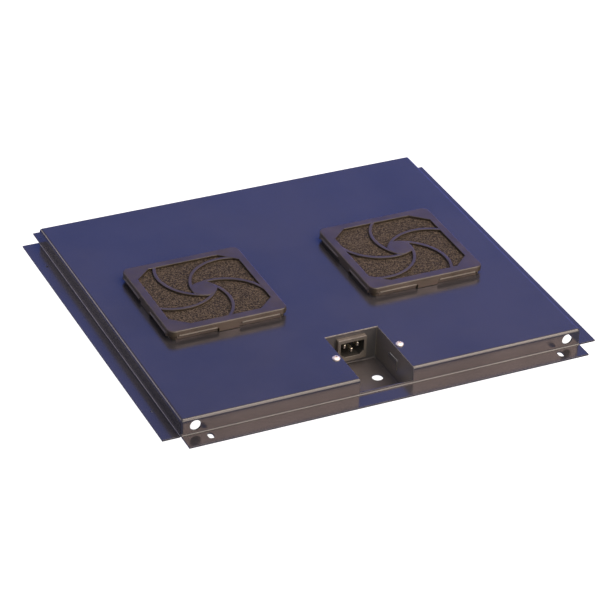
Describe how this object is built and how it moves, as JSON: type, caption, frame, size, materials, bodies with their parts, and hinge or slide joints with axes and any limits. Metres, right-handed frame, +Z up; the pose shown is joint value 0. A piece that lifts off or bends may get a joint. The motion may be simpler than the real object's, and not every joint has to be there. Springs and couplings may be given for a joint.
{
  "type": "rack fan tray",
  "caption": "Folded steel rack tray with filter-guarded axial fans under its panel and a recessed three-pole mains inlet at the front.",
  "frame": {"origin": "bottom centre of the whole object, where the wire finger guards meet what it stands on", "axes": "+X to the right seen from the inlet side, +Y from the inlet side to the back, +Z up"},
  "size_m": [0.456, 0.406, 0.056],
  "materials": {
    "painted_steel": "gloss black powder coat with a blue cast",
    "plated_steel": "bright zinc plate",
    "inlet_plastic": "moulded black thermoplastic",
    "pin_metal": "nickel-plated brass",
    "nylon": "natural nylon",
    "lead_insulation": "black pvc insulation",
    "earth_insulation": "green and yellow pvc insulation",
    "terminal_metal": "tin-plated brass",
    "rubber": "moulded rubber",
    "guard_plastic": "satin black abs",
    "filter_foam": "open-cell filter foam",
    "fan_casting": "black-coated die casting",
    "bearing_steel": "ground steel",
    "core_steel": "stacked electrical steel",
    "winding_copper": "enamelled copper wire",
    "impeller_plastic": "glass-filled black plastic",
    "guard_wire": "bright nickel-plated wire"
  },
  "bodies": {
    "tray": {"tray_panel": "painted_steel", "inlet_bracket": "painted_steel", "bracket_screws": "plated_steel", "bracket_nuts": "plated_steel", "fan_screws": "plated_steel", "fan_nuts": "plated_steel", "inlet_housing": "inlet_plastic", "inlet_line_pin": "pin_metal", "inlet_neutral_pin": "pin_metal", "inlet_earth_pin": "pin_metal", "line_receptacle": "nylon", "neutral_receptacle": "nylon", "earth_receptacle": "nylon", "fan_left_leads": "lead_insulation", "fan_right_leads": "lead_insulation", "earth_lead": "earth_insulation", "earth_terminal": "terminal_metal", "lead_grommets": "rubber", "lead_clips": "nylon", "filter_base_left": "guard_plastic", "fan_left_housing": "fan_casting", "fan_left_bearings": "bearing_steel", "fan_left_stator": "core_steel", "fan_left_windings": "winding_copper", "finger_guard_left": "guard_wire", "filter_base_right": "guard_plastic", "fan_right_housing": "fan_casting", "fan_right_bearings": "bearing_steel", "fan_right_stator": "core_steel", "fan_right_windings": "winding_copper", "finger_guard_right": "guard_wire"},
    "impeller_left": {"fan_left_impeller": "impeller_plastic", "fan_left_rotor": "core_steel", "fan_left_shaft": "bearing_steel"},
    "cover_left": {"filter_cover_left": "guard_plastic"},
    "foam_left": {"filter_foam_left": "filter_foam"},
    "impeller_right": {"fan_right_impeller": "impeller_plastic", "fan_right_rotor": "core_steel", "fan_right_shaft": "bearing_steel"},
    "cover_right": {"filter_cover_right": "guard_plastic"},
    "foam_right": {"filter_foam_right": "filter_foam"}
  },
  "joints": [
    {"name": "fan_left_spin", "type": "hinge", "parent": "tray", "child": "impeller_left", "pos_m": [-0.107, 0.002, 0.025], "axis": [0, 0, 1], "continuous": true},
    {"name": "cover_left_lift", "type": "slide", "parent": "tray", "child": "cover_left", "axis": [0, 0, 1], "range_m": [0, 0.03]},
    {"name": "foam_left_lift", "type": "slide", "parent": "tray", "child": "foam_left", "axis": [0, 0, 1], "range_m": [0, 0.015]},
    {"name": "fan_right_spin", "type": "hinge", "parent": "tray", "child": "impeller_right", "pos_m": [0.107, 0.002, 0.025], "axis": [0, 0, 1], "continuous": true},
    {"name": "cover_right_lift", "type": "slide", "parent": "tray", "child": "cover_right", "axis": [0, 0, 1], "range_m": [0, 0.03]},
    {"name": "foam_right_lift", "type": "slide", "parent": "tray", "child": "foam_right", "axis": [0, 0, 1], "range_m": [0, 0.015]}
  ],
  "couplings": [
    {"joint": "foam_left_lift", "follows": "cover_left_lift", "ratio": 0.5},
    {"joint": "foam_right_lift", "follows": "cover_right_lift", "ratio": 0.5}
  ]
}
